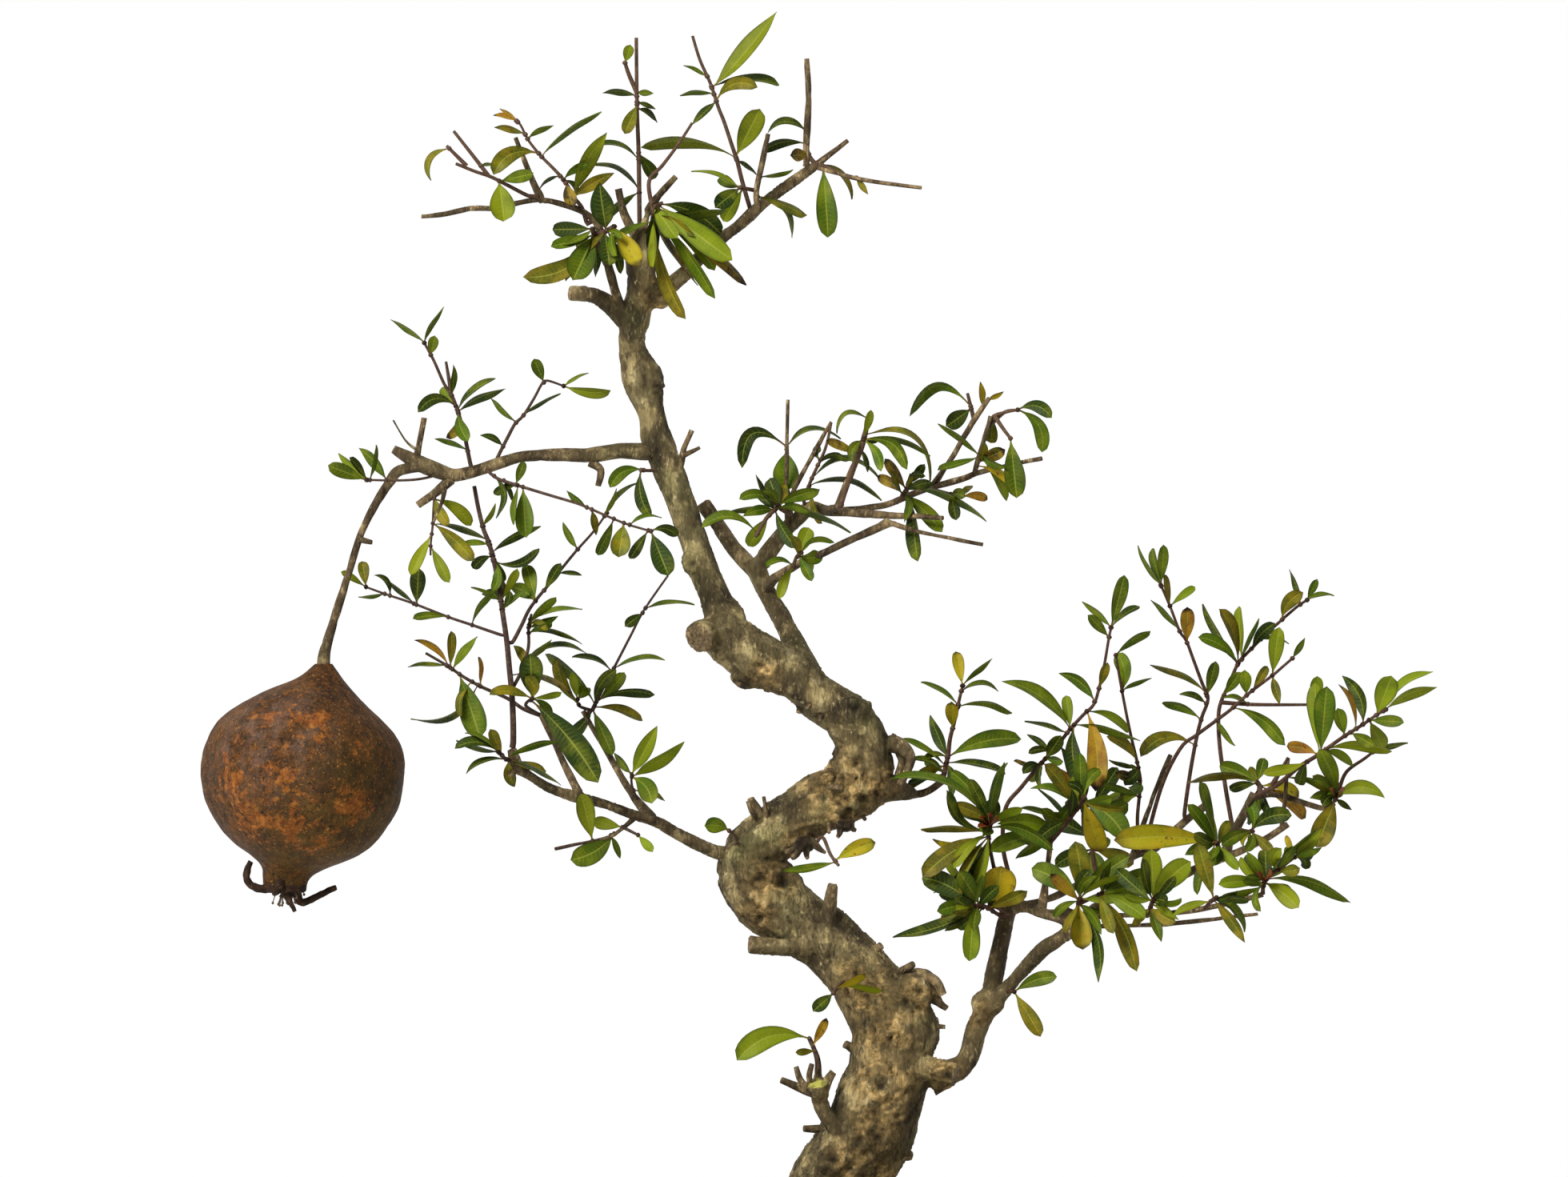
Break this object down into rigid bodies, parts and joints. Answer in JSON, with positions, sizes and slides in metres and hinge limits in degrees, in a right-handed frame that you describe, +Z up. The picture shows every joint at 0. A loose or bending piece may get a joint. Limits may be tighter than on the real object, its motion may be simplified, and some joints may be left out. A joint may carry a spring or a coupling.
{
  "type": "pomegranate bonsai",
  "caption": "Pomegranate tree grown as a bonsai with a twisting trunk, small autumn leaves and a ripe fruit hanging low on the left, in a plain footed pot.",
  "frame": {"origin": "middle of the pot's footprint, on the surface it stands on", "axes": "+Z up, front on -Y, the fruit hangs on the -X side"},
  "size_m": [0.4618, 0.22, 0.5615],
  "materials": {
    "pot_stoneware": "unglazed, matt",
    "potting_soil": "gritty soil with moss",
    "drain_mesh": "matt",
    "bark": "rough bark",
    "fruit_rind": "leathery rind",
    "foliage": "waxy leaves"
  },
  "bodies": {
    "root": {"pot": "pot_stoneware", "soil": "potting_soil", "drain_screen_left": "drain_mesh", "drain_screen_right": "drain_mesh", "trunk_and_branches": "bark", "pomegranate": "fruit_rind", "crown_tall_left": "foliage", "crown_left_upright": "foliage", "crown_far_left": "foliage", "crown_left_low": "foliage", "crown_centre": "foliage", "crown_right_tall": "foliage", "crown_right_branch": "foliage", "crown_right_end": "foliage", "fruit_spire_top": "foliage", "fruit_upper_twig": "foliage", "fruit_left_tip": "foliage", "fruit_under_fork": "foliage", "fruit_bare_twig": "foliage", "left_spire": "foliage", "left_side_twig": "foliage", "left_right_twig": "foliage", "left_inner_twig": "foliage", "left_dark_twig": "foliage", "left_low_node": "foliage", "left_thin_twig": "foliage", "left_low_leaves": "foliage", "left_red_shoot": "foliage", "trunk_low_sprig": "foliage", "trunk_bend_leaves": "foliage", "trunk_elbow_leaves": "foliage", "trunk_fork_leaves": "foliage", "trunk_upper_left_leaves": "foliage", "mid_left_stub_leaves": "foliage", "mid_tall_stub_leaves": "foliage", "mid_node_sprig": "foliage", "mid_left_cluster": "foliage", "mid_lower_leaves": "foliage", "mid_arm_leaves": "foliage", "mid_arm_end_leaves": "foliage", "mid_right_top": "foliage", "mid_right_end": "foliage", "right_first_shoot": "foliage", "right_red_node": "foliage", "right_tall_shoot": "foliage", "right_slim_shoot": "foliage", "right_upper_left_shoot": "foliage", "right_long_shoot": "foliage", "right_mid_shoot": "foliage", "right_far_shoot": "foliage", "right_far_node": "foliage", "right_curl_leaf": "foliage", "right_bottom_shoot": "foliage", "right_bottom_leaves": "foliage", "right_yellow_leaf": "foliage", "right_centre_sprig": "foliage", "right_front_leaves": "foliage", "right_middle_leaves": "foliage", "right_lower_arm_leaves": "foliage", "right_back_leaves": "foliage"}
  },
  "joints": []
}
